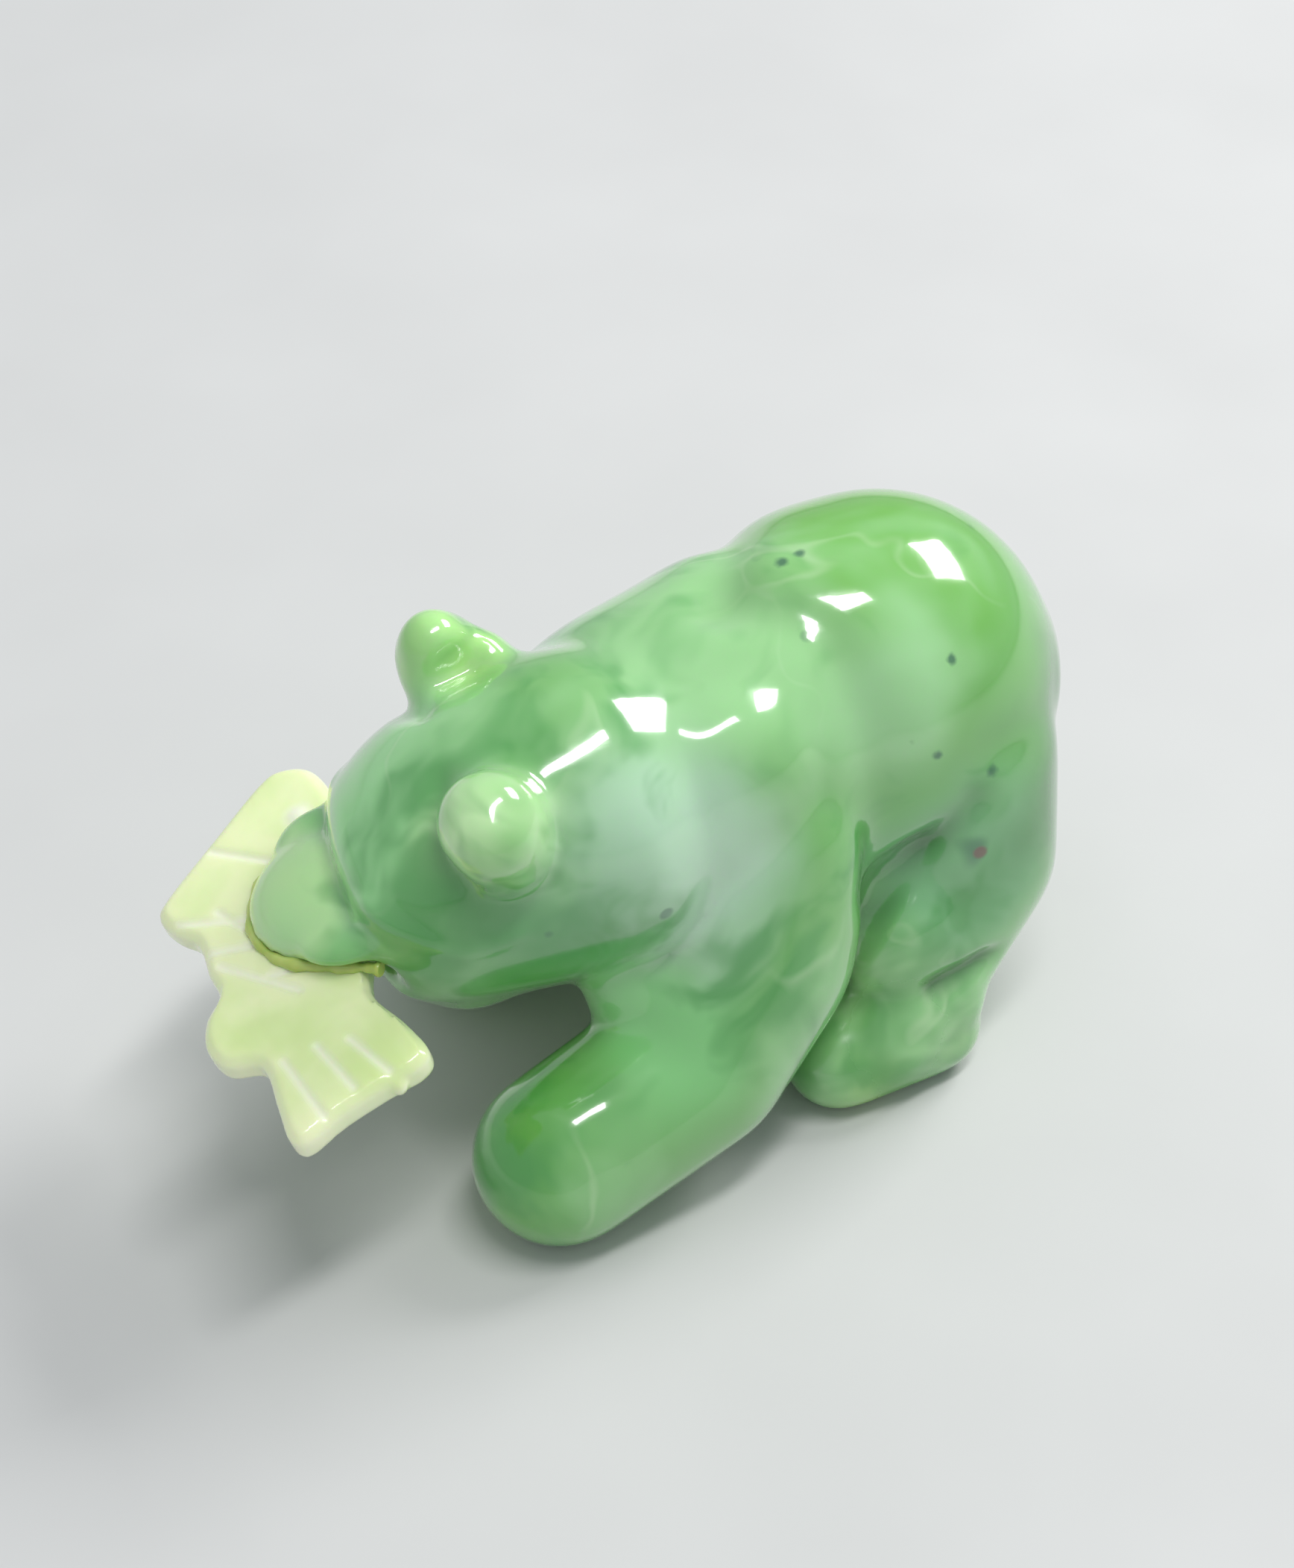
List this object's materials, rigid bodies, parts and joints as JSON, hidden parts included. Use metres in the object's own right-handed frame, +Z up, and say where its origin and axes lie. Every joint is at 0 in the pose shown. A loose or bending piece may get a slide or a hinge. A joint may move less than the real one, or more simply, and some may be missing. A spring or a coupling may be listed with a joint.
{
  "type": "animal figurine",
  "caption": "Small carved stone bear walking with its head low and turned aside, holding a flat carved stone fish glued crosswise in its mouth.",
  "frame": {"origin": "middle of the overall box, in the plane of the soles", "axes": "-X is the way the bear faces, -Y is its left side, +Z is up; +X and -X run along its length"},
  "size_m": [0.0538, 0.0302, 0.032],
  "materials": {
    "green_jade": "gloss",
    "pale_jade": "gloss",
    "adhesive": "gloss"
  },
  "bodies": {
    "root": {"bear": "green_jade", "fish": "pale_jade", "adhesive": "adhesive"}
  },
  "joints": []
}
